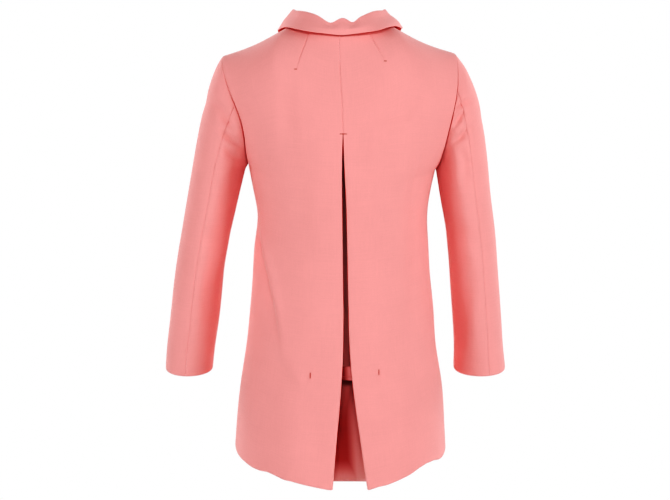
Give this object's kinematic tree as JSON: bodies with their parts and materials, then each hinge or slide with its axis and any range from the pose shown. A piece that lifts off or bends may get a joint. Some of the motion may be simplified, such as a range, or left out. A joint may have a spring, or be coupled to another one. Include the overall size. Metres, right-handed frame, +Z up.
{
  "type": "shirt jacket",
  "caption": "Hip-length shirt jacket, filled out as worn: shirt collar, set-in sleeves, buttoned front, inverted centre back pleat with a stay.",
  "frame": {"origin": "middle of the neck opening at the height of the neck points, where the wearer's shoulders carry the jacket", "axes": "+Z up, front faces -Y, the wearer's left is +X"},
  "size_m": [0.6191, 0.3022, 0.8191],
  "materials": {
    "cloth": "plain woven coral pink cloth with a faint sheen",
    "buttons": "cloth-coloured buttons, satin"
  },
  "bodies": {
    "root": {"back_left": "cloth", "back_right": "cloth", "front_left": "cloth", "front_right": "cloth", "sleeve_left_top": "cloth", "sleeve_left_under": "cloth", "sleeve_right_top": "cloth", "sleeve_right_under": "cloth", "collar_stand": "cloth", "collar_leaf": "cloth", "pleat_underlay": "cloth", "pleat_stay": "cloth", "button_1": "buttons", "button_2": "buttons", "button_3": "buttons", "button_4": "buttons", "button_5": "buttons"}
  },
  "joints": []
}
